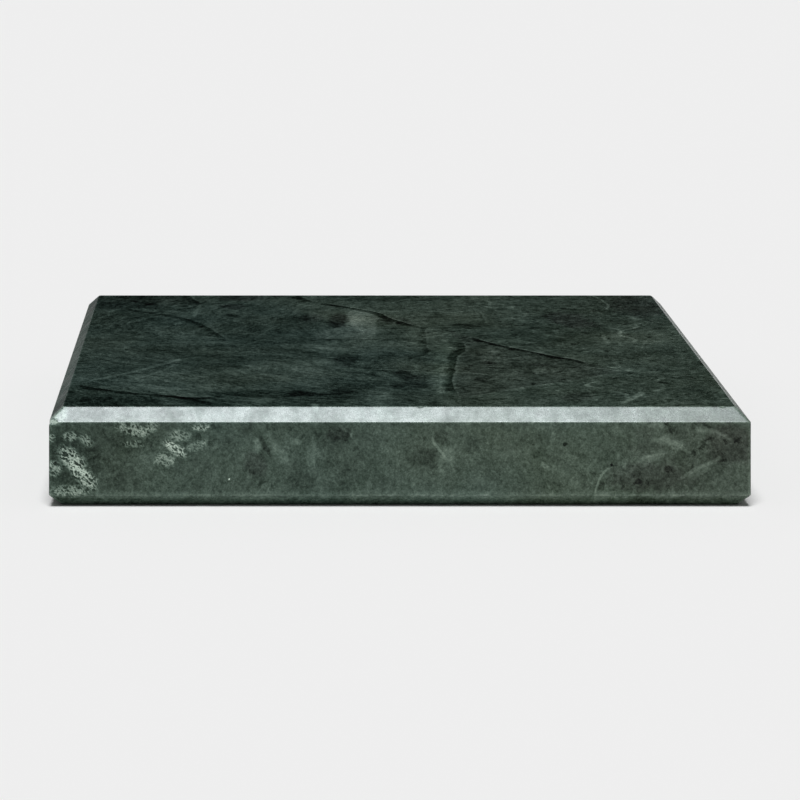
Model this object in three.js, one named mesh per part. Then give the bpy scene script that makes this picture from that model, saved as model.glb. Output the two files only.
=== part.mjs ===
// A square leatherworking slab: one sawn, ground and polished block of green stone, bevelled all round
// its top and bottom edges. Millimetres, +Z up. The origin is the centre of the resting face, and -Y is
// the front.
import * as THREE from "three";

// Driving dimensions
const SIDE = 200; // width and depth over the vertical faces
const THICKNESS = 28; // nominal 30 mm stock after grinding and polishing
const TOP_BEVEL = 3.8; // leg of the 45 degree bevel round the working face
const BOTTOM_BEVEL = 3.4; // leg of the 45 degree bevel round the resting face

const SQUARE_SIDES = 4;
const HALF_SIDE = SIDE / 2;

// Dark green serpentine marble, honed to a low sheen
function greenStone() {
  return new THREE.MeshStandardMaterial({ color: 0x3a463f, roughness: 0.35, metalness: 0 });
}

// A point of the half section through two opposite corners. A square that is halfSide from its centre
// to its flats has its corners at halfSide times the root of two.
function sectionPoint(halfSide, height) {
  return new THREE.Vector2(halfSide * Math.SQRT2, height);
}

// The block is a four-sided lathe solid: the half section, turned in four steps about the vertical
// axis, gives the flat faces and the mitred bevels in one closed body.
function slabGeometry() {
  const section = [
    sectionPoint(0, 0),
    sectionPoint(HALF_SIDE - BOTTOM_BEVEL, 0),
    sectionPoint(HALF_SIDE, BOTTOM_BEVEL),
    sectionPoint(HALF_SIDE, THICKNESS - TOP_BEVEL),
    sectionPoint(HALF_SIDE - TOP_BEVEL, THICKNESS),
    sectionPoint(0, THICKNESS),
  ];
  const cornersOnDiagonals = Math.PI / SQUARE_SIDES;
  const geometry = new THREE.LatheGeometry(section, SQUARE_SIDES, cornersOnDiagonals);
  return geometry.rotateX(Math.PI / 2); // the lathe turns about Y, and the slab stands along Z
}

const stoneSlab = new THREE.Mesh(slabGeometry(), greenStone());
stoneSlab.name = "stone_slab";

const slab = new THREE.Group();
slab.add(stoneSlab);

export default slab;
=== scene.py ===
"""Looks of the stone tooling slab: a bevelled square of dark green veined stone with a polished face.

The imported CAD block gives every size. It is shown as one dressed stone with slightly rounded, nicked
arrises, and all of its colour, veins and finish are worked out in nodes from the place in the stone.
"""

import math
import random

import bpy
import numpy as np
from mathutils import Matrix, Vector, noise


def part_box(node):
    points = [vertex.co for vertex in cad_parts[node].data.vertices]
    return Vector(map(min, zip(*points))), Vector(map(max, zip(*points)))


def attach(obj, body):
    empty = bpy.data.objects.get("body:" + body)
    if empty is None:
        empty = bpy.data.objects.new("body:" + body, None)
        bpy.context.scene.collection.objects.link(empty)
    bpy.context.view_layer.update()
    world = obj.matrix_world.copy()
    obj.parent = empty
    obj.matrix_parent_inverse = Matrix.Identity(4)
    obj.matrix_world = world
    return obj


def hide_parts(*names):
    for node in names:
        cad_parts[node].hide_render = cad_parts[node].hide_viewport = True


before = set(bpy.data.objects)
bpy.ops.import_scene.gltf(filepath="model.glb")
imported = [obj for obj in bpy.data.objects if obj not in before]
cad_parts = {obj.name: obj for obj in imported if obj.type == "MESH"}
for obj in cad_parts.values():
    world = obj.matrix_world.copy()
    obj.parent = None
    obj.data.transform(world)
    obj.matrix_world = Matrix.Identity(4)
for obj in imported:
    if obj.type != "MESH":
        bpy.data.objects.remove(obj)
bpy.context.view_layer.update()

BLOCK = "stone_slab"
MM = 0.001
SAME_HEIGHT = 0.1 * MM  # corners this close in height lie on one face

# The block, read from the CAD model (metres)
block_low, block_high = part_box(BLOCK)
HALF_SIDE = block_high.x
THICKNESS = block_high.z - block_low.z


def bevel_leg(height):
    """How far the flat face at this height stops short of the sides."""
    corners = [v.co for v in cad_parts[BLOCK].data.vertices]
    reach = max(c.x for c in corners if abs(c.z - height) < SAME_HEIGHT)
    return HALF_SIDE - reach


TOP_BEVEL = bevel_leg(block_high.z)
BOTTOM_BEVEL = bevel_leg(block_low.z)

# ---------------------------------------------------------------- the dressed stone

ARRIS_RADIUS = 0.40 * MM  # hand-rubbed rounding of the long arrises
ARRIS_REACH = ARRIS_RADIUS * math.tan(math.radians(22.5))  # what the rounding takes off each flat
ARRIS_STEPS = 3
CORNER_RADIUS = 0.55 * MM  # the same for the four upright arrises
CORNER_STEPS = 4
SIDE_STEPS = 384  # points along one side, its share of the corners included
NEAR_ARRIS = (0.2 * MM, 0.6 * MM, 1.3 * MM)  # rows that carry the nicks on each flat
MARGIN = (3.0 * MM, 8.0 * MM)  # further rows on the two large faces
SHORT_FLAT = 9 * MM  # a flat longer than this gets a row in its middle
INNER_INSETS = (13 * MM, 17 * MM, 23 * MM, 32 * MM)  # rings where the point count halves


def section_rows():
    """Rows of the edge section as (inset, height, closeness to an arris), work face to resting face."""
    top, bottom = block_high.z, block_low.z
    outline = [
        Vector((TOP_BEVEL + MARGIN[-1], top)),
        Vector((TOP_BEVEL, top)),
        Vector((0, top - TOP_BEVEL)),
        Vector((0, bottom + BOTTOM_BEVEL)),
        Vector((BOTTOM_BEVEL, bottom)),
        Vector((BOTTOM_BEVEL + MARGIN[-1], bottom)),
    ]
    rows = []
    for before, corner, after in zip(outline, outline[1:], outline[2:]):
        rows += flat_rows(before, corner, first=before is outline[0])
        rows += arris_rows(before, corner, after)
    rows += flat_rows(outline[-2], outline[-1], last=True)
    return rows


def arris_rows(before, corner, after):
    """A small round in place of one corner of the section."""
    back = (before - corner).normalized()
    ahead = (after - corner).normalized()
    half_angle = back.angle(ahead) / 2
    middle = (back + ahead).normalized()
    centre = corner + middle * (ARRIS_RADIUS / math.sin(half_angle))
    start = corner + back * ARRIS_REACH - centre
    sweep = start.angle_signed(corner + ahead * ARRIS_REACH - centre)
    rows = []
    for step in range(ARRIS_STEPS + 1):
        turn = -sweep * step / ARRIS_STEPS
        x = start.x * math.cos(turn) - start.y * math.sin(turn)
        y = start.x * math.sin(turn) + start.y * math.cos(turn)
        rows.append((centre.x + x, centre.y + y, 1.0))
    return rows


def flat_rows(start, end, first=False, last=False):
    """Rows across one flat of the section, close together beside the arrises at its ends."""
    length = (end - start).length
    direction = (end - start) / length
    distances = []
    if not first:
        distances += [ARRIS_REACH + near for near in NEAR_ARRIS]
    if first or last:
        distances += [length - far if first else far for far in MARGIN]
    elif length > SHORT_FLAT:
        distances += [length / 2]
    if not last:
        distances += [length - ARRIS_REACH - near for near in NEAR_ARRIS]
    rows = []
    for distance in sorted(distances):
        point = start + direction * distance
        rows.append((point.x, point.y, 0.0))
    return rows


def plan_ring(half_side, corner_radius, side_steps):
    """Points of a square with rounded corners, counter-clockwise from the middle of a corner."""
    reach = half_side - corner_radius
    arc_half = CORNER_STEPS // 2 if corner_radius else 0
    points = []
    for side in range(4):
        turn = side * math.pi / 2
        corner = Vector((reach, -reach))
        local = []
        for step in range(arc_half):
            angle = -math.pi / 4 + step * math.pi / 2 / CORNER_STEPS
            local.append(corner + corner_radius * Vector((math.cos(angle), math.sin(angle))))
        straight = side_steps - 2 * arc_half
        for step in range(straight + (1 if arc_half else 0)):
            local.append(Vector((half_side, reach * (2 * step / straight - 1))))
        for step in range(1, arc_half):
            angle = step * math.pi / 2 / CORNER_STEPS
            arc = corner_radius * Vector((math.cos(angle), math.sin(angle)))
            local.append(Vector((reach, reach)) + arc)
        cosine, sine = math.cos(turn), math.sin(turn)
        points += [(p.x * cosine - p.y * sine, p.x * sine + p.y * cosine) for p in local]
    return points


class StoneMesh:
    """Vertices, faces and arris closeness of the slab, gathered ring by ring."""

    def __init__(self):
        self.vertices = []
        self.faces = []
        self.arris = []

    def ring(self, plan, height, closeness=0.0, corner=0):
        """Adds one closed row of vertices, with this many at each end of a side on an upright arris."""
        first = len(self.vertices)
        self.vertices += [(x, y, height) for x, y in plan]
        side = len(plan) // 4
        for step in range(len(plan)):
            from_corner = min(step % side, side - step % side)
            self.arris.append(1.0 if from_corner < corner else closeness)
        return list(range(first, len(self.vertices)))

    def join(self, upper, lower):
        """Quads between two rings of the same count; the lower or outer one comes second."""
        count = len(upper)
        for i in range(count):
            k = (i + 1) % count
            self.faces.append((upper[i], lower[i], lower[k], upper[k]))

    def halve(self, outer, inner, flip):
        """Joins a ring to one inside it that has half as many points."""
        count = len(inner)
        for i in range(count):
            a, b, c = outer[2 * i], outer[2 * i + 1], outer[(2 * i + 2) % len(outer)]
            near, far = inner[i], inner[(i + 1) % count]
            self.add((a, b, near), flip)
            self.add((b, c, far, near), flip)

    def add(self, face, flip):
        self.faces.append(tuple(reversed(face)) if flip else face)

    def close(self, ring, side_steps, half_side, height, flip):
        """Fills the square inside a ring with a grid whose border is that ring."""
        grid = {}
        for side in range(4):
            for step in range(side_steps):
                place = [(side_steps, step), (side_steps - step, side_steps)]
                place += [(0, side_steps - step), (step, 0)]
                grid[place[side]] = ring[side * side_steps + step]
        spacing = 2 * half_side / side_steps
        for i in range(1, side_steps):
            for k in range(1, side_steps):
                grid[i, k] = len(self.vertices)
                self.vertices.append((i * spacing - half_side, k * spacing - half_side, height))
                self.arris.append(0.0)
        for i in range(side_steps):
            for k in range(side_steps):
                self.add((grid[i, k], grid[i + 1, k], grid[i + 1, k + 1], grid[i, k + 1]), flip)

    def face_centre(self, edge_ring, height, flip):
        """Covers a large face from its edge ring inwards, with fewer points in each step."""
        ring, steps = edge_ring, SIDE_STEPS
        for inset in INNER_INSETS:
            steps //= 2
            half_side = HALF_SIDE - inset
            inner = self.ring(plan_ring(half_side, 0, steps), height)
            self.halve(ring, inner, flip)
            ring = inner
        self.close(ring, steps, HALF_SIDE - INNER_INSETS[-1], height, flip)


# ---------------------------------------------------------------- nicks along the arrises

SEED = 11
NICKS_PER_ARRIS = 16
NICK_DEPTHS = (0.03 * MM, 0.17 * MM)
NICK_RADII = (0.5 * MM, 1.8 * MM)
LONG_ARRISES = (  # inset and height of each arris, and the rise of its outward direction in degrees
    (TOP_BEVEL, block_high.z, 67.5),
    (0.0, block_high.z - TOP_BEVEL, 22.5),
    (0.0, block_low.z + BOTTOM_BEVEL, -22.5),
    (BOTTOM_BEVEL, block_low.z, -67.5),
)
SHELL_GRAIN = 0.9 * MM  # unevenness of the broken shells: its size, and its share of their radius
SHELL_UNEVENNESS = 0.06
FULL_CHIP = 0.08 * MM  # stone that lost this much shows as broken
CORNER_DEPTHS = (0.25, 0.5)  # blunting of every corner, in millimetres
CORNER_RADII = (1.2, 2.2)
CORNER_RISES = (  # height of each row of corners, and how far their outward direction rises
    (block_high.z - TOP_BEVEL, 0.5),
    (block_low.z + BOTTOM_BEVEL, -0.5),
)
KNOCKED_CORNER = Vector((-HALF_SIDE, -HALF_SIDE, block_high.z - TOP_BEVEL))
KNOCKED_OUTWARD = Vector((-1, -1, 0.6)).normalized()
KNOCKS = (  # shift from that corner, depth and radius, in millimetres
    ((0.2, 0.1, 0.4), 0.8, 2.4),
    ((1.9, 0.0, 0.2), 0.4, 1.6),
    ((0.0, 2.4, -0.6), 0.35, 1.5),
)


def scoop(arris_point, outward, depth, radius):
    """A ball outside the stone that bites this deep into an arris: (centre, radius)."""
    return arris_point + outward * (radius - depth), radius


def nicks():
    """The small shell-shaped chips that handling leaves on every arris."""
    chance = random.Random(SEED)
    scoops = []
    for side in range(4):
        turn = Matrix.Rotation(side * math.pi / 2, 3, "Z")
        for inset, height, rise in LONG_ARRISES:
            angle = math.radians(rise)
            outward = turn @ Vector((math.cos(angle), 0, math.sin(angle)))
            for _ in range(NICKS_PER_ARRIS):
                along = chance.uniform(-1, 1) * (HALF_SIDE - TOP_BEVEL)
                share = chance.random() ** 3  # most nicks are shallow
                depth = NICK_DEPTHS[0] + share * (NICK_DEPTHS[1] - NICK_DEPTHS[0])
                radius = chance.uniform(*NICK_RADII)
                place = turn @ Vector((HALF_SIDE - inset, along, height))
                scoops.append(scoop(place, outward, depth, radius))
    return scoops + corner_knocks(chance)


def corner_knocks(chance):
    """Every corner is a little blunted, the front left one the most."""
    scoops = []
    for side in range(4):
        turn = Matrix.Rotation(side * math.pi / 2, 3, "Z")
        for height, rise in CORNER_RISES:
            corner = turn @ Vector((HALF_SIDE, HALF_SIDE, height))
            outward = (turn @ Vector((1, 1, rise))).normalized()
            depth = chance.uniform(*CORNER_DEPTHS) * MM
            radius = chance.uniform(*CORNER_RADII) * MM
            scoops.append(scoop(corner, outward, depth, radius))
    for shift, depth, radius in KNOCKS:
        place = KNOCKED_CORNER + Vector(shift) * MM
        scoops.append(scoop(place, KNOCKED_OUTWARD, depth * MM, radius * MM))
    return scoops


def chip_away(points, scoops):
    """Pushes points out of every scoop, into the stone, and says how far each one moved."""
    rough = np.array([noise.noise(Vector(point) / SHELL_GRAIN) for point in points])
    start = points.copy()
    for centre, radius in scoops:
        offset = points - np.array(centre)
        distance = np.linalg.norm(offset, axis=1)
        wall = radius * (1 + SHELL_UNEVENNESS * rough)
        inside = distance < wall
        scale = wall[inside] / distance[inside]
        points[inside] = np.array(centre) + offset[inside] * scale[:, None]
    return np.linalg.norm(points - start, axis=1)


def dressed_slab():
    """The stone as cut and used: the CAD block with rubbed and nicked arrises."""
    stone = StoneMesh()
    rings = []
    for inset, height, closeness in section_rows():
        plan = plan_ring(HALF_SIDE - inset, CORNER_RADIUS, SIDE_STEPS)
        rings.append(stone.ring(plan, height, closeness, CORNER_STEPS // 2 + 1))
    for upper, lower in zip(rings, rings[1:]):
        stone.join(upper, lower)
    stone.face_centre(rings[0], block_high.z, flip=False)
    stone.face_centre(rings[-1], block_low.z, flip=True)
    points = np.array(stone.vertices)
    chipped = np.clip(chip_away(points, nicks()) / FULL_CHIP, 0, 1)
    mesh = bpy.data.meshes.new("dressed_slab")
    mesh.from_pydata(points.tolist(), [], stone.faces)
    mesh.update()
    mesh.shade_smooth()
    for name, values in (("arris", stone.arris), ("chipped", chipped)):
        attribute = mesh.attributes.new(name, "FLOAT", "POINT")
        attribute.data.foreach_set("value", values)
    slab = bpy.data.objects.new("dressed_slab", mesh)
    bpy.context.scene.collection.objects.link(slab)
    return slab


# ---------------------------------------------------------------- node arithmetic


class Field:
    """A number, colour or place that varies over a surface: one output of a node tree."""

    def __init__(self, tree, socket):
        self.tree = tree
        self.socket = socket

    def node(self, kind, inputs, output=0, **settings):
        """Adds a node, sets or links its inputs, and returns one of its outputs as a field."""
        made = self.tree.nodes.new(kind)
        for name, value in settings.items():
            setattr(made, name, value)
        for name, value in inputs.items():
            if isinstance(value, Field):
                self.tree.links.new(value.socket, made.inputs[name])
            else:
                made.inputs[name].default_value = value
        return Field(self.tree, made.outputs[output])

    def math(self, operation, *others):
        values = dict(enumerate((self, *others)))
        return self.node("ShaderNodeMath", values, operation=operation)

    def vector(self, operation, *others, output="Vector"):
        values = dict(enumerate((self, *others)))
        return self.node("ShaderNodeVectorMath", values, output, operation=operation)

    def __add__(self, other):
        return self.math("ADD", other)

    def __sub__(self, other):
        return self.math("SUBTRACT", other)

    def __mul__(self, other):
        return self.math("MULTIPLY", other)

    def __abs__(self):
        return self.math("ABSOLUTE")

    def inverse(self):
        """1 minus the field: the rest of a mask."""
        return self.node("ShaderNodeMath", {0: 1.0, 1: self}, operation="SUBTRACT")

    def smooth(self, low, high):
        """0 up to low, 1 from high on, and an even passage between; low may be the greater one.

        A smooth step stays within 0 and 1 by itself. The node's own clamp is off, because so many of
        them would fill the memory that Cycles has for one material.
        """
        limits = {"Value": self, "From Min": low, "From Max": high}
        settings = {"interpolation_type": "SMOOTHSTEP", "clamp": False}
        return self.node("ShaderNodeMapRange", limits, **settings)

    def between(self, low, high):
        """The passage from low, where this mask is 0, to high, where it is 1."""
        return self * (high - low) + low

    def scaled(self, x, y, z):
        return self.vector("MULTIPLY", (x, y, z))

    def moved(self, other):
        return self.vector("ADD", other)

    def axis(self, name):
        return self.node("ShaderNodeSeparateXYZ", {"Vector": self}, name)

    def dot(self, other):
        return self.vector("DOT_PRODUCT", other, output="Value")

    def length(self):
        return self.vector("LENGTH", output="Value")

    def turned(self, angle):
        """A place turned about the upright axis, in degrees."""
        values = {"Vector": self, "Angle": math.radians(angle)}
        return self.node("ShaderNodeVectorRotate", values, rotation_type="Z_AXIS")

    def noise(self, size, detail=2.0, roughness=0.5):
        """Noise of a place, around 0, whose features are about this many millimetres."""
        values = {"Vector": self, "Scale": 1 / size, "Detail": detail, "Roughness": roughness}
        return self.node("ShaderNodeTexNoise", values, "Fac") - 0.5

    def drift(self, size, reach, detail=1.0, roughness=0.5):
        """The place, pushed about by noise of one size, by up to about reach millimetres."""
        values = {"Vector": self, "Scale": 1 / size, "Detail": detail, "Roughness": roughness}
        push = self.node("ShaderNodeTexNoise", values, "Color")
        push = push.vector("SUBTRACT", (0.5, 0.5, 0.5)).scaled(2 * reach, 2 * reach, 2 * reach)
        return self.moved(push)

    def flake_tone(self, size):
        """A random number around 0 for each of the irregular flakes that fill the stone."""
        values = {"Vector": self, "Scale": 1 / size}
        return self.node("ShaderNodeTexVoronoi", values, "Color").dot((1, 0, 0)) - 0.5

    def curve(self, points, reach):
        """A smooth curve through points, from 0 to 1 along and from -reach to reach across."""
        made = self.node("ShaderNodeFloatCurve", {"Value": self})
        mapping = made.socket.node.mapping
        knots = mapping.curves[0].points
        for knot in points[2:]:
            knots.new(1, 1)
        for knot, (along, height) in zip(knots, points):
            knot.location = (along, 0.5 + 0.5 * height / reach)
        mapping.update()
        return (made - 0.5) * (2 * reach)

    def ridge(self, width):
        """Noise around 0 turned into lines where it crosses 0."""
        return abs(self).smooth(width, 0)


# ---------------------------------------------------------------- the green stone
# Tone is the lightness of the stone, from 0 to 1. The marks of the work face are in millimetres from its
# centre, +X to the right and +Y to the back.

FIRST_SEAM = ((-18, 80), (-11, 73), (-6, 68), (-0.4, 61), (3, 51.5), (8, 41), (12.5, 33))
SECOND_SEAM = ((28.5, 14), (36, 1), (44, -9), (50, -16.5), (57, -24), (62, -32))
INNER_UPRIGHT = ((13.8, 32), (12.8, 1), (11.5, -17), (7.5, -22), (6, -33))
OUTER_UPRIGHT = ((24, 8), (24.6, -8), (21.6, -18), (19.8, -36), (17.4, -58), (17.8, -80))
LOWER_VEIN = ((20, -83), (32, -73.5), (45, -63.5), (56, -56), (66, -46))

TOP_SEAMS = (  # path, width, depth of the dark core, strength of the pale fringe on its left
    (FIRST_SEAM, 2.6, 0.150, 0.095),
    (SECOND_SEAM, 2.1, 0.150, 0.090),
    (INNER_UPRIGHT, 1.6, 0.060, 0.020),
    (((-95, -64), (-88, -69), (-80, -74.5), (-70, -78.5), (-58, -83), (-49, -80)), 2.4, 0.145, 0.040),
    (OUTER_UPRIGHT, 2.2, 0.130, 0.040),
    (((-65.5, 99), (-63.5, 90), (-60.5, 80)), 2.8, 0.110, 0.030),
    (((-90, 94), (-79, 87), (-74, 89.5)), 0.6, 0.110, 0.030),
    (((-87, 87), (-82, 83), (-77, 76)), 1.0, 0.060, 0.020),
    (((-86, 69), (-75, 60), (-66, 51), (-59, 38), (-54, 22), (-50, 6)), 1.9, 0.095, 0.020),
    (((-27, 95), (-24, 88), (-22, 83)), 2.8, 0.120, 0.040),
    (((-72, -74), (-63, -82), (-52, -92)), 2.0, 0.060, 0.020),
    (((-26, 13), (-10, 11), (8, 11)), 1.2, 0.055, 0.000),
    (((-2, 31), (10, 30.5)), 0.8, 0.085, 0.000),
    (((34, 64), (34.4, 52), (34, 40)), 0.6, 0.045, 0.040),
    (((-77, 36), (-66, 27), (-56.5, 18)), 0.7, 0.050, 0.000),
    (((-85, 87), (-81.5, 82)), 0.9, 0.090, 0.000),
)
TOP_VEINS = (  # path, half width, paleness
    (((-60.5, 78), (-61.5, 64), (-62.5, 50)), 0.7, 0.070),
    (((-90, 68), (-91.5, 53)), 1.3, 0.055),
    (((-38.5, 25), (-33, 40)), 0.4, 0.060),
    (((-91, -58), (-80, -46), (-70, -32), (-63, -22)), 0.9, 0.085),
    (((-78, -56), (-69, -41), (-66, -30)), 0.6, 0.060),
    (((2, 12), (12, 2), (23, -1)), 0.4, 0.050),
    (((60, -36), (76, -45), (90, -47)), 0.6, 0.070),
    (((78, -58), (86, -51), (95, -49)), 0.5, 0.060),
    (((-70, 73), (-66.5, 76.8), (-63, 74)), 0.7, 0.085),
    (((-63.6, 74), (-66, 70.8), (-69.5, 71)), 0.6, 0.075),
    (((74.5, 100), (77.3, 89), (78.6, 80), (78.5, 72), (75, 64)), 0.45, 0.130),
    (((36, 88), (38.5, 83), (38.5, 75)), 0.6, 0.080),
    (((39, 91), (42.4, 89.5), (46.5, 92.5), (60, 99.5)), 0.6, 0.085),
    (((87, 41), (83.6, 38), (83.8, 34), (77.3, 25), (76.7, 17), (80, 11), (79, 5)), 0.7, 0.110),
    (((72, 34), (76, 30), (76.8, 20)), 0.6, 0.090),
    (((71, 18), (70.5, 2)), 0.8, 0.100),
    (((79, 4), (87, 2.5), (98, 4)), 0.5, 0.060),
    (((83, 55), (86, 46)), 0.9, 0.085),
    (((63, -31), (74, -42), (82, -44)), 0.6, 0.070),
    (((16.6, -34), (15.4, -54), (13.8, -70), (12.2, -80)), 1.3, 0.085),
    (LOWER_VEIN, 0.6, 0.060),
    (((61.5, -59), (57, -65.5), (62, -70)), 0.9, 0.130),
    (((63, -73), (67, -81), (66, -85)), 0.8, 0.110),
    (((72.2, -75), (68.4, -84), (64, -92.5)), 1.1, 0.130),
    (((80, -68.5), (75, -75)), 0.7, 0.090),
    (((-7, -40), (1, -41), (9, -42.5)), 0.5, 0.110),
    (((18, -44), (24, -46.5), (30, -49)), 0.5, 0.090),
    (((16, -2.5), (19, -3.5), (24, -6)), 0.4, 0.100),
)
TOP_PATCHES = (  # centre, half extents, turn in degrees, change of tone, greyness
    ((-9, -3), (19, 13), 0, 0.055, 0.0),
    ((-28, -38), (17, 14), 0, 0.035, 0.0),
    ((-14, -26), (3.5, 9), 0, -0.075, 0.3),
    ((3.5, -48), (3, 8), 0, -0.075, 0.3),
    ((1, -65), (2.6, 6), 0, -0.060, 0.2),
    ((-8, 48), (3, 10), 0, 0.070, 0.0),
    ((-66, -25), (2.2, 2.2), 0, 0.080, 0.0),
    ((-86, 84), (22, 16), 0, -0.070, 0.3),
    ((-60, 12), (13, 9), -40, 0.040, 0.0),
    ((-66, -60), (17, 14), 0, 0.045, 0.0),
    ((-90, -91), (20, 12), 0, -0.070, 0.0),
    ((-38, -78), (16, 5), 0, -0.080, 0.0),
    ((30, 36), (6, 3), 45, -0.060, 0.2),
    ((33, -10), (3, 2.2), 0, 0.060, 0.0),
    ((41, -22), (3.4, 2), 30, 0.070, 0.0),
    ((30, -30), (2.4, 4), 0, -0.060, 0.3),
    ((46, -33), (4, 2.4), -20, -0.060, 0.3),
    ((34, -48), (3.4, 2.4), 0, 0.050, 0.0),
    ((26, -56), (2.4, 4), 0, -0.060, 0.2),
    ((-73, 83), (3.5, 8), 0, 0.060, 0.0),
    ((-77.5, 78), (2, 2), 0, -0.070, 0.2),
    ((-66.5, 73.5), (1.6, 2), 0, -0.030, 0.0),
    ((-49.5, 73), (4.5, 6), 0, -0.040, 0.7),
    ((-56.5, 18), (1.1, 0.9), 0, -0.150, 0.0),
    ((-70, 62), (2.6, 3), 0, 0.070, 0.0),
    ((-14, 46), (3.4, 13), -4, -0.130, 0.9),
    ((-23, 50), (4, 8), 0, -0.045, 0.5),
    ((4, 46), (5, 10), 25, -0.060, 0.4),
    ((17, -34), (4.5, 44), -4, 0.045, -0.3),
    ((7, -59), (4, 12), 0, -0.075, 0.3),
    ((-47, 91), (9, 6), 0, -0.070, 1.0),
    ((-42, 96), (3.5, 2.5), 0, -0.080, 0.6),
    ((-34, 95), (2.8, 2.6), 0, -0.120, 0.8),
    ((-50, 55), (3.4, 2.5), 20, -0.100, 0.0),
    ((-57, -90), (10, 6), -42, -0.060, 0.0),
    ((-63, -78), (13, 3), -42, 0.035, 0.0),
    ((-80, -93), (18, 9), 0, -0.030, 0.0),
    ((-39, -88), (3.6, 4.5), 0, 0.065, 0.0),
    ((-34, -78), (3, 3), 0, 0.065, 0.0),
    ((-24, -95), (1.3, 3), 10, 0.130, 0.0),
    ((-27, -78), (5, 5), 0, -0.070, 0.2),
    ((-16, -75), (4, 5), 0, -0.080, 0.3),
    ((-5, -84), (4.5, 15), 0, 0.060, 0.0),
    ((63, 46), (7, 17), 10, -0.045, 1.0),
    ((90, 77), (11, 24), 0, -0.045, 0.8),
    ((39, 71), (3, 3), 0, 0.080, 0.0),
    ((46, 70.5), (3, 3.4), 30, 0.090, 0.0),
    ((52, -83), (4.5, 7.5), -20, -0.060, 0.4),
    ((25, 37), (3.5, 2.5), 20, -0.080, 0.0),
    ((48, 76), (1.4, 1.3), 0, -0.130, 0.0),
    ((23.6, 67), (1.5, 1.2), 0, -0.120, 0.0),
    ((65, 68), (4, 1.4), -20, -0.110, 0.0),
    ((-80, 40), (20, 12), 0, -0.030, 0.0),
)
TOP_REGIONS = (  # borders, 1 where the region is on their left and -1 on their right; tone; greyness
    (((OUTER_UPRIGHT, 1), (SECOND_SEAM, -1), (LOWER_VEIN, 1)), -0.030, 0.4),
    (
        (
            (((-8, 68), (-11, 57), (-11, 42), (-17, 29), (-22, 20), (-21, 9)), 1),
            (((-6, 68), (-1, 58), (-2, 40), (-2, 25), (-4, 9)), -1),
            (((-26, 12), (-10, 10.5), (4, 10.5)), 1),
        ),
        0.080,
        0.2,
    ),
)
# The same on the front, in millimetres to the right of its middle and above its foot
FRONT_VEINS = (
    (((8.8, 20.5), (10.0, 18.0), (12.5, 15)), 0.4, 0.060),
    (((12.6, 15), (11.6, 12.5), (12.2, 9)), 0.8, 0.035),
    (((64, 8), (69, 13.5), (75, 15.5)), 0.5, 0.035),
    (((71, 19), (77.5, 18.8), (82, 15.5)), 0.6, 0.035),
    (((79, 8), (85, 11), (92, 15)), 0.5, 0.035),
    (((82, 21), (88, 22), (95, 19)), 0.5, 0.030),
    (((55.5, 3.8), (57.2, 8.5), (60.4, 12)), 0.35, 0.060),
    (((-17.5, 23.5), (-14.5, 21), (-13.3, 19.5)), 0.4, 0.040),
)
FRONT_PATCHES = (
    ((-94, 12), (9, 15), 0, -0.040, 0.0),
    ((-76, 20), (6.5, 5), 0, -0.035, 0.0),
    ((-41, 12), (3, 3.8), 40, -0.022, 0.8),
    ((-34.5, 16), (1.2, 6), 35, 0.035, 0.0),
    ((-38.5, 17.5), (0.8, 3.2), 30, -0.050, 0.3),
    ((-40.6, 17.5), (0.9, 2), 0, 0.050, 0.0),
    ((-25, 14), (1.8, 4.6), 0, 0.045, 0.0),
    ((-29.3, 18.6), (1.8, 0.8), 0, 0.040, 0.0),
    ((-17.5, 21), (3.6, 2.2), 0, -0.035, 0.5),
    ((7, 14), (4, 3.4), 0, -0.030, 0.2),
    ((12, 20), (2.6, 2), 0, -0.030, 0.2),
    ((13.8, 15), (2.0, 2.2), 0, 0.040, 0.0),
    ((41.4, 11.9), (1.3, 0.8), -35, 0.070, 0.0),
    ((47, 18.1), (0.6, 0.6), 0, -0.100, 0.0),
    ((60.4, 12.4), (0.5, 0.5), 0, -0.120, 0.0),
    ((88, 12), (26, 18), 0, -0.012, 0.5),
    ((71, 9), (12, 4.5), 0, -0.022, 0.6),
    ((94, 18), (7, 6), 0, -0.028, 0.9),
    ((72, 14), (4, 1.6), 30, 0.030, 0.0),
    ((78, 18.5), (5, 1.6), -20, 0.030, 0.0),
    ((86, 11), (5, 1.4), 30, 0.025, 0.0),
    ((73, 23.2), (2.6, 0.9), 0, 0.040, 0.0),
    ((89, 21.5), (4, 1.2), -15, 0.028, 0.0),
    ((76.3, 10.8), (1.1, 1), 0, -0.070, 0.5),
    ((67.8, 7.3), (1, 0.9), 0, -0.070, 0.5),
)
FRONT_THREADS = (  # nests of pale threads: centre, half extents, turn, paleness
    ((-93.4, 13.6), (5, 2.4), -38, 0.36),
    ((-89.7, 8.5), (4.6, 2.3), -38, 0.36),
    ((-98.5, 11.2), (2, 2.4), 0, 0.26),
    ((-94, 4.6), (5.5, 1.8), 0, 0.24),
    ((-93.9, 20.3), (2.2, 1.5), 0, 0.26),
    ((-89.5, 19), (2.2, 1.4), -40, 0.24),
    ((-99.3, 19.6), (1, 1.4), 0, 0.24),
    ((-76.2, 22.4), (5.0, 2.2), -20, 0.29),
    ((-70.5, 23.2), (1.8, 1.8), 40, 0.22),
    ((-64, 16.6), (3.8, 1.6), -30, 0.34),
    ((-67, 13.4), (3, 2), 0, 0.20),
    ((-63, 20.4), (3.2, 1.7), 0, 0.18),
    ((-56.8, 22.8), (2.8, 1.2), 0, 0.28),
    ((-58, 17.5), (3.5, 1.4), 20, 0.14),
    ((-76, 18), (3.2, 1.0), 0, 0.20),
    ((-48.6, 8), (0.3, 0.3), 0, 0.60),
)
CRUST_CENTRE = Vector((-98.4, -97.6, 26.2))  # a pale patch on the front left mitre
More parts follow.
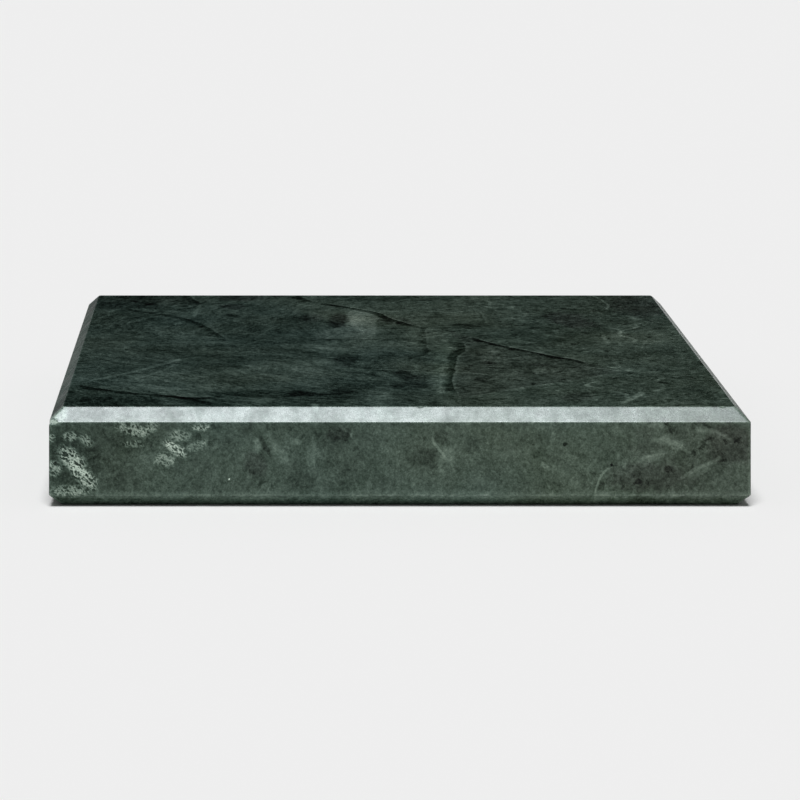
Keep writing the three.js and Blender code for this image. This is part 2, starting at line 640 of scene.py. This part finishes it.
CRUST_EDGE = (4.4, 2.8)  # millimetres from its centre
CRUST_PALENESS = 0.34

TOP_DEPTH = (6, 1)  # the marks of the work face fade from 1 to 6 mm down into the stone
FRONT_DEPTH = (3, 1)  # and those of the front from 1 to 3 mm
TOP_STRENGTH = 1.15
FRONT_STRENGTH = 2.1
WAVE = (5, 1.1, 4, 0.8)  # size, reach, detail and roughness of the waviness of every mark
FRAY = (5, 4, 0.8)  # size, detail and roughness of the fraying of their borders
FRAY_REACH = 1.8
RAG_REACH = 1.9  # raggedness of a seam beside the fraying of a cloud
THREAD_FRAY = 0.6

PATH_REACH = 25  # furthest that a path bends from the straight line between its ends
PATH_START = (-0.02, 0.08)  # shares of a path over which a mark appears
PATH_END = (1.02, 0.88)
SEAM_CUT = (0.2, -0.15)  # crisp left side of a seam, in millimetres
SEAM_TEAR = (-1.6, -0.8)  # ragged right side, in widths
FRINGE_START = (0, 0.3)  # the pale fringe beside the crisp side, in millimetres
FRINGE_END = (1.3, 0.5)
VEIN_EDGE = (1.5, 0.4)  # in widths
PATCH_EDGE = (1.3, 0.6)  # in half extents
REGION_EDGE = 0.8
THREAD_DRIFT = (1.6, 0.45, 2)  # size, reach and detail
THREAD_SLANT = 38  # degrees
THREAD_STRETCH = (0.5, 1, 1)
THREAD_NOISE = (1.1, 2, 0.6)  # size, detail and roughness
THREAD_WIDTH = 0.13
THREAD_CONTRAST = 1.5
THREAD_GROUND = 0.08  # how much darker the stone is between threads
THREAD_LIMIT = 0.42


def path(place, points):
    """Signed distance to the left of a path, and the share of the way along it."""
    points = [Vector(point) for point in points]
    run = points[-1] - points[0]
    ahead = run.normalized()
    left = Vector((-ahead.y, ahead.x))
    along = place.dot((*(ahead / run.length), 0)) - points[0].dot(ahead) / run.length
    across = place.dot((*left, 0)) - points[0].dot(left)
    if len(points) > 2:
        steps = [point - points[0] for point in points]
        bends = [(step.dot(ahead) / run.length, step.dot(left)) for step in steps]
        across = across - along.curve(bends, PATH_REACH)
    return across, along


def between_ends(along):
    """A mask that fades out at both ends of a path."""
    return along.smooth(*PATH_START) * along.smooth(*PATH_END)


def seam(place, points, width, depth, fringe, rags):
    """A dark seam, crisp and pale along its left side and ragged along its right."""
    across, along = path(place, points)
    core = across.smooth(*SEAM_CUT)
    core = core * (across + rags * width).smooth(SEAM_TEAR[0] * width, SEAM_TEAR[1] * width)
    tone = core * -depth
    if fringe:
        tone = tone + across.smooth(*FRINGE_START) * across.smooth(*FRINGE_END) * fringe
    return tone * between_ends(along)


def vein(place, points, width, paleness):
    """A pale mineral vein."""
    across, along = path(place, points)
    edge = [width * share for share in VEIN_EDGE]
    return abs(across).smooth(*edge) * between_ends(along) * paleness


def patch(place, centre, extents, turn, fray):
    """Mask of a soft oval cloud with a frayed border."""
    angle = math.radians(turn)
    along = Vector((math.cos(angle), math.sin(angle))) / extents[0]
    across = Vector((-math.sin(angle), math.cos(angle))) / extents[1]
    if turn:
        shares = {"X": place.dot((*along, 0)), "Y": place.dot((*across, 0))}
        local = place.node("ShaderNodeCombineXYZ", shares)
    else:
        local = place.scaled(along.x, across.y, 0)
    middle = (along.dot(Vector(centre)), across.dot(Vector(centre)), 0)
    return (local.vector("DISTANCE", middle, output="Value") + fray).smooth(*PATCH_EDGE)


def region(place, borders):
    """Mask of the ground enclosed by paths."""
    mask = None
    for points, hand in borders:
        side = path(place, points)[0].smooth(-REGION_EDGE * hand, REGION_EDGE * hand)
        mask = side if mask is None else mask * side
    return mask


def clouds_of(place, patches, fray):
    """Tone and greyness of all the patches of one face."""
    tone, grey = fray * 0, fray * 0
    for centre, extents, turn, change, greyness in patches:
        mask = patch(place, centre, extents, turn, fray)
        tone = tone + mask * change
        if greyness:
            grey = grey + mask * greyness
    return tone, grey


def work_face_marks(place, fray):
    """Tone and greyness of the marks seen on the work face."""
    tone, grey = clouds_of(place, TOP_PATCHES, fray)
    for borders, change, greyness in TOP_REGIONS:
        mask = region(place, borders)
        tone = tone + mask * change
        grey = grey + mask * greyness
    for points, width, depth, fringe in TOP_SEAMS:
        tone = tone + seam(place, points, width, depth, fringe, fray * RAG_REACH)
    for points, width, paleness in TOP_VEINS:
        tone = tone + vein(place, points, width, paleness)
    return tone * TOP_STRENGTH, grey


def front_marks(place, fray):
    """Tone and greyness of the marks seen on the front, with nests of pale threads at its left end."""
    place = place.node("ShaderNodeCombineXYZ", {"X": place.axis("X"), "Y": place.axis("Z")})
    tone, grey = clouds_of(place, FRONT_PATCHES, fray)
    for points, width, paleness in FRONT_VEINS:
        tone = tone + vein(place, points, width, paleness)
    nests = fray * 0
    for centre, extents, turn, paleness in FRONT_THREADS:
        nests = nests + patch(place, centre, extents, turn, fray * THREAD_FRAY) * paleness
    stretched = place.drift(*THREAD_DRIFT).turned(THREAD_SLANT).scaled(*THREAD_STRETCH)
    threads = stretched.noise(*THREAD_NOISE).ridge(THREAD_WIDTH)
    nests = nests.math("MINIMUM", THREAD_LIMIT)
    return tone * FRONT_STRENGTH + nests * (threads * THREAD_CONTRAST - THREAD_GROUND), grey


# Grain: how strongly each kind shows in the tone. Where there are two strengths, the first is for the half
# of the stone that has less of that kind, and the second for the half that has more.
BASE_TONE = (0.264, 0.266)  # on the left and on the right
CLOUDS = 0.26
MOTTLE = 0.24
CREASES = 0.18
NETTING = 0.48
FINE_GRAIN = 0.62
FLAKES = (0.03, 0.09)
LACE = (0.02, 0.10)
SPOTS = (0.02, 0.12)
STRANDS = (0.14, 0.64)
HAIRS = (0.012, 0.057)
CREASE_MIDDLE = 0.07  # about the mean of a noise that is folded up at 0
SLANT_IN_FRONT = 40  # degrees
SLANT_BEHIND = -72
STRAND_STRETCH = (0.2, 1, 0.6)
HAIR_WIDTH = 0.022
APART = (70, 30, 9)  # a shift after which the same noise looks unlike itself
HALVES = (-15, 25)  # millimetres over which the left half passes into the right one
HALVES_SLANT = 0.25
HALVES_WANDER = 60
SLANTS = (-10, 25)  # and over which the front strands pass into the ones behind
SLANTS_WANDER = 70
FRONT_NETTING = 0.7  # all of the front has this much of the right half's grain


def right_half(place):
    """Mask of the right half of the stone, whose border slants and wanders."""
    border = place.axis("X") + place.axis("Y") * HALVES_SLANT + place.noise(30) * HALVES_WANDER
    return border.smooth(*HALVES)


def stone_grain(place, right, grey):
    """Tone of the general grain, coarse to fine: streaked on the left, flaky and netted on the right."""
    folded = place.drift(52, 20, 2)
    curled = folded.drift(11, 1.8, 2)
    netted = place.drift(5, 2.4, 2)
    clouds = folded.noise(44, 2)
    mottle = curled.noise(10, 3, 0.85)
    creases = abs(curled.noise(6, 4, 0.9)) - CREASE_MIDDLE
    netting = abs(netted.noise(7, 3, 0.8)) - CREASE_MIDDLE
    grain = place.noise(1.1, 2, 1.0)
    flakes = place.drift(3, 1.2, 3).flake_tone(2.6)
    lace = netted.noise(5.5, 2, 0.6).ridge(0.035) * curled.noise(9, 2).smooth(-0.02, 0.12)
    spots = place.drift(3, 1, 2).noise(2.6, 2, 0.5).smooth(0.10, 0.16)
    spots = spots * curled.noise(12, 2).smooth(-0.06, 0.1)
    behind = (place.axis("Y") + folded.noise(40) * SLANTS_WANDER).smooth(*SLANTS)

    tone = clouds * CLOUDS + right.between(*BASE_TONE)
    tone = tone + mottle * MOTTLE + creases * CREASES - netting * (right * NETTING)
    tone = tone + streaks(curled, right.inverse(), behind)
    tone = tone + grain * FINE_GRAIN
    tone = tone + flakes * right.between(*FLAKES)
    tone = tone + lace * right.between(*LACE)
    return tone - spots * (right + grey).between(*SPOTS)


def streaks(curled, left, behind):
    """Tone of the strands and broken hair lines, which slant in front and stand steeply behind."""
    strands, hairs = left * 0, left * 0
    for slant, share in ((SLANT_IN_FRONT, behind.inverse()), (SLANT_BEHIND, behind)):
        along = curled.turned(slant).scaled(*STRAND_STRETCH)
        strands = strands + along.noise(4, 5, 0.95) * share
        pale = along.noise(7, 2, 0.6).ridge(HAIR_WIDTH)
        dark = along.moved(APART).noise(7, 2, 0.6).ridge(HAIR_WIDTH)
        hairs = hairs + (pale - dark) * share
    broken = curled.noise(8, 2, 0.8).smooth(-0.04, 0.12)
    return strands * left.between(*STRANDS) + hairs * left.between(*HAIRS) * broken


# Finish, with a paler honed tone that is partly painted sheen, and a painted highlight above the lower
# bevel. A pair is for the polished work face and for the honed bevels and sides.
POLISH_DEPTH = (0.12, 0.04)  # the polish ends between these depths under the work face, in millimetres
# Honed bevels and sides: fainter grain and a paler tone, partly the honed stone's own paleness and partly
# painted sheen
GRAIN_CONTRAST = (1, 0.62)
HONED_PALENESS_AND_SHEEN = 0.160
WORN_PALENESS = 0.08  # along the arrises
CHIPPED_PALENESS = 0.16
FOOT_HIGHLIGHT = 0.06  # painted highlight along the arris above the lower bevel
FOOT_HIGHLIGHT_EDGE = (2.0, 0.2)
ROUGHNESS = (0.08, 0.25)
RUBBED_BROADLY = 0.38  # unevenness of the roughness, in patches and in specks
RUBBED_FINELY = 0.14
RUBBED_SHARE = (0.05, 1)
CHIPPED_ROUGHNESS = 0.3
PORE_DEPTH = (0.001, 0.008)  # millimetres

SHADE = 0.02  # slow drift between warmer and cooler stone
OLIVE = 0.008  # on the sides
PALE_TONES = (0.36, 0.8)
TONE_GAMMA = 2.25  # tones are even steps to the eye, and this turns them into shares of light
SPECULAR_TINT = (0.90, 0.985, 1.0, 1.0)
CHANNELS = {  # start, then shares of the tone, pale tones, greyness, right half, shade and olive
    "Red": (-0.026, 0.94, 0.03, 0.014, 0.006, 1, 1),
    "Green": (0.008, 1.02, 0, 0, 0, 0, 1),
    "Blue": (-0.005, 0.985, 0, 0.010, -0.010, -1, -1),
}


def stone_tone(place, right, honed, work_face):
    """Tone and greyness of the sound stone: its grain, the marks of the work face and the front, and the
    paler honed faces, partly painted sheen.
    """
    front = -HALF_SIDE / MM
    front_face = place.axis("Y").smooth(front + FRONT_DEPTH[0], front + FRONT_DEPTH[1])
    front_face = front_face * work_face.inverse()
    fray = place.noise(*FRAY) * FRAY_REACH
    wavy = place.drift(*WAVE)
    top_tone, top_grey = work_face_marks(wavy, fray)
    front_tone, front_grey = front_marks(wavy, fray)
    grey = top_grey * work_face + front_grey * front_face
    netted = right.math("MAXIMUM", front_face * FRONT_NETTING)
    # Honed faces are paler and less contrasty: partly their own finish, partly painted sheen
    tone = stone_grain(place, netted, grey) * honed.between(*GRAIN_CONTRAST) + honed * HONED_PALENESS_AND_SHEEN
    return tone + top_tone * work_face + front_tone * front_face, grey


def wear_and_painted_highlight(place, chipped):
    """How much paler the stone is where rubbed, chipped or crusted, plus a painted highlight above the
    lower bevel.
    """
    arris = place.node("ShaderNodeAttribute", {}, "Fac", attribute_name="arris")
    worn = arris * place.noise(2.5, 3, 0.8).smooth(-0.2, 0.1)
    crust = place.moved(tuple(-CRUST_CENTRE)).length().smooth(*CRUST_EDGE)
    crust = crust * place.noise(0.9, 2, 0.7).smooth(-0.16, 0.04)
    # Painted highlight: a pale band where light catches the arris above the lower bevel
    foot = abs(place.axis("Z") - BOTTOM_BEVEL / MM).smooth(*FOOT_HIGHLIGHT_EDGE)
    paler = worn * WORN_PALENESS + chipped * CHIPPED_PALENESS
    return paler + foot * FOOT_HIGHLIGHT + crust * CRUST_PALENESS


def stone_colour(place, tone, grey, right, sides):
    """The tone as a dark green, warmer on the right, in grey clouds and on the sides."""
    shade = place.noise(34, 2) * SHADE
    causes = (tone, tone.smooth(*PALE_TONES), grey, right, shade, sides * OLIVE)
    channels = {}
    for channel, (start, *shares) in CHANNELS.items():
        channels[channel] = tone * 0 + start
        for cause, share in zip(causes, shares):
            if share:
                channels[channel] += cause * share
    colour = tone.node("ShaderNodeCombineColor", channels)
    return tone.node("ShaderNodeGamma", {"Color": colour, "Gamma": TONE_GAMMA})


def stone_roughness(place, honed, chipped):
    """Roughness of the polished and honed stone, uneven where it is honed."""
    rubbed = place.noise(7, 3, 0.7) * RUBBED_BROADLY + place.noise(1.3, 2, 0.8) * RUBBED_FINELY
    return honed.between(*ROUGHNESS) + rubbed * honed.between(*RUBBED_SHARE) + chipped * CHIPPED_ROUGHNESS


def stone_material():
    """Veined serpentine marble: polished on the work face, honed on the bevels and sides."""
    material = bpy.data.materials.new("veined_green_stone")
    material.use_nodes = True
    tree = material.node_tree
    coordinates = tree.nodes.new("ShaderNodeTexCoord")
    place = Field(tree, coordinates.outputs["Object"]).scaled(1 / MM, 1 / MM, 1 / MM)
    chipped = place.node("ShaderNodeAttribute", {}, "Fac", attribute_name="chipped")
    height, top = place.axis("Z"), THICKNESS / MM
    honed = height.smooth(top - POLISH_DEPTH[0], top - POLISH_DEPTH[1]).inverse()
    work_face = height.smooth(top - TOP_DEPTH[0], top - TOP_DEPTH[1])
    right = right_half(place)

    tone, grey = stone_tone(place, right, honed, work_face)
    # Paler where rubbed, chipped or crusted, and a painted highlight along the arris above the lower bevel
    tone = tone + wear_and_painted_highlight(place, chipped)
    pores = place.noise(0.5, 2, 0.7) * honed.between(*PORE_DEPTH)
    relief = {"Height": pores, "Distance": MM, "Strength": 1.0}
    finish = {
        "Base Color": stone_colour(place, tone, grey, right, work_face.inverse()),
        "Roughness": stone_roughness(place, honed, chipped),
        "Normal": place.node("ShaderNodeBump", relief, "Normal"),
    }
    shader = tree.nodes["Principled BSDF"]
    shader.inputs["Specular Tint"].default_value = SPECULAR_TINT
    for name, field in finish.items():
        tree.links.new(field.socket, shader.inputs[name])
    return material


# ---------------------------------------------------------------- studio

PALE = 0.86  # the surroundings as the camera sees them, the same as the lit floor
FILL = 0.14  # soft light from all round
SHEEN_DARK = 0.006  # what polished stone mirrors near the horizon
SHEEN_PALE = 0.45  # and from high up
SHEEN_HEIGHTS = (0.25, 0.75)
GLOW = 1.6  # a glow low on the right, which only the right bevel catches
GLOW_HEIGHTS = (0.14, 0.02)
GLOW_SIDE = (0, 0.25)
FLOOR_PALE = 0.90
FLOOR_MIRRORED = 0.22  # the floor as the honed sides mirror it
FLOOR_ROUGHNESS = 0.9
FLOOR_SIDE = 60  # metres
SUN_DIRECTION = (-0.03, -0.32, 0.94)
SUN_STRENGTH = 2.7
SUN_ANGLE = 24  # degrees
CAMERA_PLACE = Vector((-0.0385, -0.9765, 0.2051))  # level, square to the front of the slab
CAMERA_LENS = 138.5  # mm on a 36 mm sensor
CAMERA_NEAR = 0.05  # metres
CAMERA_SHIFT = {"shift_x": 0.169, "shift_y": -0.766}  # brings the slab into the middle of the frame
CAMERA_AT_PLACE = 0.001  # a camera further than this from its place has no shift


def ray_kind(tree, name):
    """Mask that is 1 for rays of this kind and 0 for the others."""
    return Field(tree, tree.nodes.new("ShaderNodeLightPath").outputs[name])


def add_floor():
    """A pale matt floor, which stays out of the reflections in the polished stone."""
    bpy.ops.mesh.primitive_plane_add(size=FLOOR_SIDE, location=(0, 0, block_low.z))
    floor = bpy.context.object
    floor.name = "floor"
    material = bpy.data.materials.new("pale_floor")
    material.use_nodes = True
    tree = material.node_tree
    shader = tree.nodes["Principled BSDF"]
    shader.inputs["Roughness"].default_value = FLOOR_ROUGHNESS
    shader.inputs["Specular IOR Level"].default_value = 0.0
    shade = ray_kind(tree, "Is Glossy Ray").between(FLOOR_PALE, FLOOR_MIRRORED)
    tree.links.new(shade.socket, shader.inputs["Base Color"])
    floor.data.materials.append(material)


def add_world():
    """A pale studio, dark near the horizon in reflections, so that the work face mirrors little."""
    world = bpy.data.worlds.new("studio")
    bpy.context.scene.world = world
    world.use_nodes = True
    tree = world.node_tree
    coordinates = tree.nodes.new("ShaderNodeTexCoord")
    direction = Field(tree, coordinates.outputs["Generated"])
    height = direction.axis("Z")
    sheen = height.smooth(*SHEEN_HEIGHTS).between(SHEEN_DARK, SHEEN_PALE)
    sheen = sheen + height.smooth(*GLOW_HEIGHTS) * direction.axis("X").smooth(*GLOW_SIDE) * GLOW
    light = ray_kind(tree, "Is Camera Ray").between(FILL, PALE)
    light = light + (sheen - FILL) * ray_kind(tree, "Is Glossy Ray")
    tree.links.new(light.socket, tree.nodes["Background"].inputs["Color"])


def add_sun():
    """A broad soft light from above and a little in front, which the front bevel mirrors."""
    light = bpy.data.lights.new("overhead", "SUN")
    light.energy = SUN_STRENGTH
    light.angle = math.radians(SUN_ANGLE)
    lamp = bpy.data.objects.new("overhead", light)
    lamp.rotation_euler = (-Vector(SUN_DIRECTION)).to_track_quat("-Z", "Y").to_euler()
    bpy.context.scene.collection.objects.link(lamp)


def add_camera():
    """A level camera. Its lens shift holds only at its own place, so that other views stay centred."""
    data = bpy.data.cameras.new("camera")
    data.lens = CAMERA_LENS
    data.clip_start = CAMERA_NEAR
    camera = bpy.data.objects.new("camera", data)
    camera.location = CAMERA_PLACE
    camera.rotation_euler = (math.radians(90), 0, 0)
    home = bpy.data.objects.new("camera_place", None)
    home.location = CAMERA_PLACE
    for item in (camera, home):
        bpy.context.scene.collection.objects.link(item)
    for setting, amount in CAMERA_SHIFT.items():
        driver = data.driver_add(setting).driver
        away = driver.variables.new()
        away.name = "away"
        away.type = "LOC_DIFF"
        away.targets[0].id = camera
        away.targets[1].id = home
        driver.expression = f"{amount} if away < {CAMERA_AT_PLACE} else 0"
    bpy.context.scene.camera = camera


slab = dressed_slab()
slab.data.materials.append(stone_material())
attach(slab, "root")
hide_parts(BLOCK)

add_floor()
add_world()
add_sun()
add_camera()
bpy.context.scene.view_settings.view_transform = "Standard"
